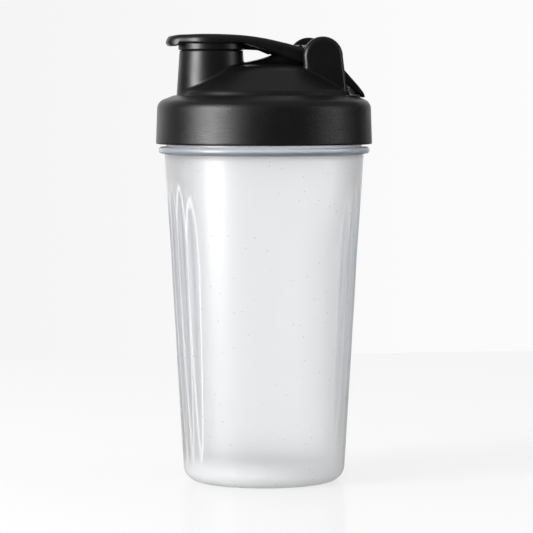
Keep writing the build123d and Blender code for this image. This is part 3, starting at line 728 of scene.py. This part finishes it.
def frosted_plastic():
    """Natural polypropylene: hazy, satin, a little speckled, milkier in its base, bead and crests, with
    painted shade in the flute hollows, painted highlight lines along the crests, and a bead tinted darker
    blue-grey, partly its thick plastic's own tint and partly painted shade under the lid.
    """
    material, shader, node, links = new_material("frosted_polypropylene")
    place = node("ShaderNodeTexCoord").outputs["Object"]
    haze = node("ShaderNodeTexNoise", {"Vector": place, "Scale": 60, "Detail": 3})
    ripple = node("ShaderNodeTexNoise", {"Vector": place, "Scale": 120, "Detail": 0})
    specks = node("ShaderNodeTexVoronoi", {"Vector": place, "Scale": 250, "Randomness": 1.0})
    bump = node("ShaderNodeBump", {"Height": ripple.outputs["Fac"], "Strength": 0.15, "Distance": 0.0001})
    height = node("ShaderNodeSeparateXYZ", {"Vector": place}).outputs["Z"]
    from_bead = maths(node, "ABSOLUTE", maths(node, "SUBTRACT", height, BEAD_TINT_Z * MM))
    bead = ramp(node, from_bead, BEAD_TINT_FULL * MM, BEAD_TINT_END * MM, 1.0, 0.0)
    painted_crest_highlight = node("ShaderNodeAttribute", attribute_name="painted_crest_highlight").outputs["Fac"]
    hollow = node("ShaderNodeAttribute", attribute_name="hollow").outputs["Fac"]
    # Painted shade tints the flute hollows darker blue-grey; the crests are kept clear of it as painted
    # highlight lines.
    tint = mix(node, maths(node, "SUBTRACT", hollow, painted_crest_highlight, use_clamp=True), CLEAR, PAINTED_FLUTE_SHADE)
    # The bead is tinted a darker blue-grey: partly the thick plastic's own tint, partly painted shade under
    # the black lid.
    tint = mix(node, bead, tint, BEAD_TINT_AND_PAINTED_SHADE)
    tint = mix(node, ramp(node, specks.outputs["Distance"], 0.04, 0.11, 1.0, 0.0), tint, IN_SPECKS)
    clearness = ramp(node, height, MILKY_BASE_Z * MM, CLEAR_WALL_Z * MM, 0.66, 0.97)
    # Painted highlight: the crest lines are made milkier, so they read lighter.
    clearness = maths(node, "MULTIPLY_ADD", painted_crest_highlight, -CREST_HIGHLIGHT_MILKINESS, clearness)
    clearness = maths(node, "MULTIPLY_ADD", bead, -BEAD_MILKINESS, clearness)
    links.new(tint, shader.inputs["Base Color"])
    links.new(ramp(node, haze.outputs["Fac"], 0.2, 0.8, 0.285, 0.325), shader.inputs["Roughness"])
    links.new(bump.outputs["Normal"], shader.inputs["Normal"])
    links.new(clearness, shader.inputs["Transmission Weight"])
    shader.inputs["IOR"].default_value = 1.49
    shader.inputs["Specular IOR Level"].default_value = 0.1
    shader.inputs["Coat Weight"].default_value = 0.06
    shader.inputs["Coat Roughness"].default_value = 0.18
    return material


def bloomed(name, colour, roughness):
    """Moulded rubber or plastic with a faint bloom."""
    material, shader, node, links = new_material(name)
    place = node("ShaderNodeTexCoord").outputs["Object"]
    bloom = node("ShaderNodeTexNoise", {"Vector": place, "Scale": 300, "Detail": 4}).outputs["Fac"]
    bump = node("ShaderNodeBump", {"Height": bloom, "Strength": 0.3, "Distance": 0.00005})
    darker = [0.8 * share for share in colour]
    links.new(mix(node, bloom, (*colour, 1), (*darker, 1)), shader.inputs["Base Color"])
    links.new(bump.outputs["Normal"], shader.inputs["Normal"])
    shader.inputs["Roughness"].default_value = roughness
    return material


def drawn_steel():
    """Drawn steel wire for the hinge pin, with lines along it."""
    material, shader, node, links = new_material("drawn_steel")
    place = node("ShaderNodeTexCoord").outputs["Object"]
    stretched = node("ShaderNodeMapping", {"Vector": place, "Scale": (9000, 300, 9000)}).outputs["Vector"]
    lines = node("ShaderNodeTexNoise", {"Vector": stretched, "Scale": 1, "Detail": 3}).outputs["Fac"]
    bump = node("ShaderNodeBump", {"Height": lines, "Strength": 0.2, "Distance": 0.00002})
    links.new(ramp(node, lines, 0.3, 0.7, 0.25, 0.4), shader.inputs["Roughness"])
    links.new(bump.outputs["Normal"], shader.inputs["Normal"])
    shader.inputs["Base Color"].default_value = (0.62, 0.62, 0.63, 1)
    shader.inputs["Metallic"].default_value = 1
    return material


def paint(piece, material):
    """Give a piece, or a CAD node, its material."""
    piece.data.materials.clear()
    piece.data.materials.append(material)


black = black_plastic()
for moulding in (lid, flip_cap, carry_loop):
    paint(moulding, black)
paint(cup, frosted_plastic())
paint(frame["nodes"]["mixing_grid"], bloomed("grid_plastic", (0.03, 0.03, 0.033), 0.45))
paint(frame["nodes"]["lid_gasket"], bloomed("gasket_silicone", (0.62, 0.63, 0.65), 0.5))
paint(frame["nodes"]["spout_seal"], bloomed("seal_silicone", (0.62, 0.63, 0.65), 0.5))
paint(frame["nodes"]["hinge_pin"], drawn_steel())


# --- studio ---------------------------------------------------------------------------------------
def seen_in_gloss(node):
    """1 for a ray that has just left a glossy surface, so that table and sky can be dark in reflections."""
    path = node("ShaderNodeLightPath").outputs
    not_passed = maths(node, "SUBTRACT", 1.0, path["Is Transmission Ray"])
    return maths(node, "MULTIPLY", path["Is Glossy Ray"], not_passed)


FLOOR_NEAR, FLOOR_FAR, FLOOR_WIDE = -3.0, 0.56, 3.0
FLOOR_TINT, FLOOR_TINT_IN_GLOSS = (0.2, 0.2, 0.2, 1), (0.03, 0.03, 0.03, 1)
FLOOR_GLOW, FLOOR_GLOW_IN_GLOSS = 0.715, 0.03


def make_floor():
    """A softly glossy white table top that ends a little behind the bottle."""
    near = [(-FLOOR_WIDE, FLOOR_NEAR, 0), (FLOOR_WIDE, FLOOR_NEAR, 0)]
    far = [(FLOOR_WIDE, FLOOR_FAR, 0), (-FLOOR_WIDE, FLOOR_FAR, 0)]
    mesh = bpy.data.meshes.new("floor")
    mesh.from_pydata(near + far, [], [(0, 1, 2, 3)])
    floor = bpy.data.objects.new("floor", mesh)
    bpy.context.scene.collection.objects.link(floor)
    material, shader, node, links = new_material("white_table")
    in_gloss = seen_in_gloss(node)
    links.new(mix(node, in_gloss, FLOOR_TINT, FLOOR_TINT_IN_GLOSS), shader.inputs["Base Color"])
    glow = ramp(node, in_gloss, 0, 1, FLOOR_GLOW, FLOOR_GLOW_IN_GLOSS)
    links.new(glow, shader.inputs["Emission Strength"])
    shader.inputs["Emission Color"].default_value = (1, 1, 1, 1)
    shader.inputs["Specular IOR Level"].default_value = 0
    mirror = node("ShaderNodeBsdfGlossy", {"Roughness": 0.16})
    mixed = node("ShaderNodeMixShader", {0: 0.12, 1: shader.outputs[0], 2: mirror.outputs[0]})
    links.new(mixed.outputs[0], material.node_tree.nodes["Material Output"].inputs["Surface"])
    paint(floor, material)


def softbox(name, azimuth_deg, elevation_deg, distance, width, height, power):
    """An area light aimed at the bottle's middle."""
    light = bpy.data.lights.new(name, "AREA")
    light.shape, light.size, light.size_y, light.energy = "RECTANGLE", width, height, power
    lamp = bpy.data.objects.new(name, light)
    bpy.context.scene.collection.objects.link(lamp)
    azimuth, elevation = math.radians(azimuth_deg), math.radians(elevation_deg)
    direction = Vector((math.sin(azimuth), -math.cos(azimuth), math.tan(elevation))).normalized()
    target = Vector((0, 0, 0.1))
    lamp.location = target + direction * distance
    lamp.rotation_euler = (target - lamp.location).to_track_quat("-Z", "Y").to_euler()
    return lamp


def make_world():
    """A white studio, whose reflections are bright only overhead and behind the bottle."""
    world = bpy.data.worlds.new("studio")
    bpy.context.scene.world = world
    world.use_nodes = True
    nodes, links = world.node_tree.nodes, world.node_tree.links

    def node(kind, inputs=None, **settings):
        return add_node(nodes, links, kind, inputs or {}, settings)

    towards = node("ShaderNodeTexCoord").outputs["Generated"]
    direction = node("ShaderNodeSeparateXYZ", {"Vector": towards}).outputs
    overhead = ramp(node, direction["Z"], 0.1, 0.9, 0.015, 0.27)
    behind = ramp(node, direction["Y"], 0.6, 0.95, 0.0, 1.1)
    reflected = maths(node, "MAXIMUM", overhead, behind)
    plain = ramp(node, direction["X"], 0.05, 0.3, 0.90, 0.98)
    strength = ramp(node, seen_in_gloss(node), 0, 1, plain, reflected)
    background = nodes["Background"]
    background.inputs["Color"].default_value = (1, 1, 1, 1)
    links.new(strength, background.inputs["Strength"])


VIEW_AZIMUTH = math.radians(-10.5)
VIEW_DISTANCE, VIEW_HEIGHT, VIEW_ASIDE = 1.23, 0.1733, 0.0011
VIEW_PITCH = math.radians(3.6855)
VIEW_LENS = 189.2


def make_camera():
    """The camera stands a little above the shoulder and looks slightly down."""
    camera = bpy.data.cameras.new("camera")
    camera.lens, camera.sensor_width = VIEW_LENS, 36
    camera.clip_start, camera.clip_end = 0.05, 50
    view = bpy.data.objects.new("camera", camera)
    bpy.context.scene.collection.objects.link(view)
    view.location = (
        VIEW_DISTANCE * math.sin(VIEW_AZIMUTH) + VIEW_ASIDE,
        -VIEW_DISTANCE * math.cos(VIEW_AZIMUTH),
        VIEW_HEIGHT,
    )
    view.rotation_euler = (math.pi / 2 - VIEW_PITCH, 0, VIEW_AZIMUTH)
    bpy.context.scene.camera = view


make_floor()
make_world()
key_light = softbox("key_left", -68, 6, distance=0.9, width=0.4, height=0.8, power=16)
key_light.visible_transmission = False  # seen through the cup, it would wash the cup out from the side
softbox("fill_right", 69, 6, distance=1.1, width=0.3, height=0.8, power=2.5)
make_camera()
bpy.context.scene.view_settings.view_transform = "Standard"
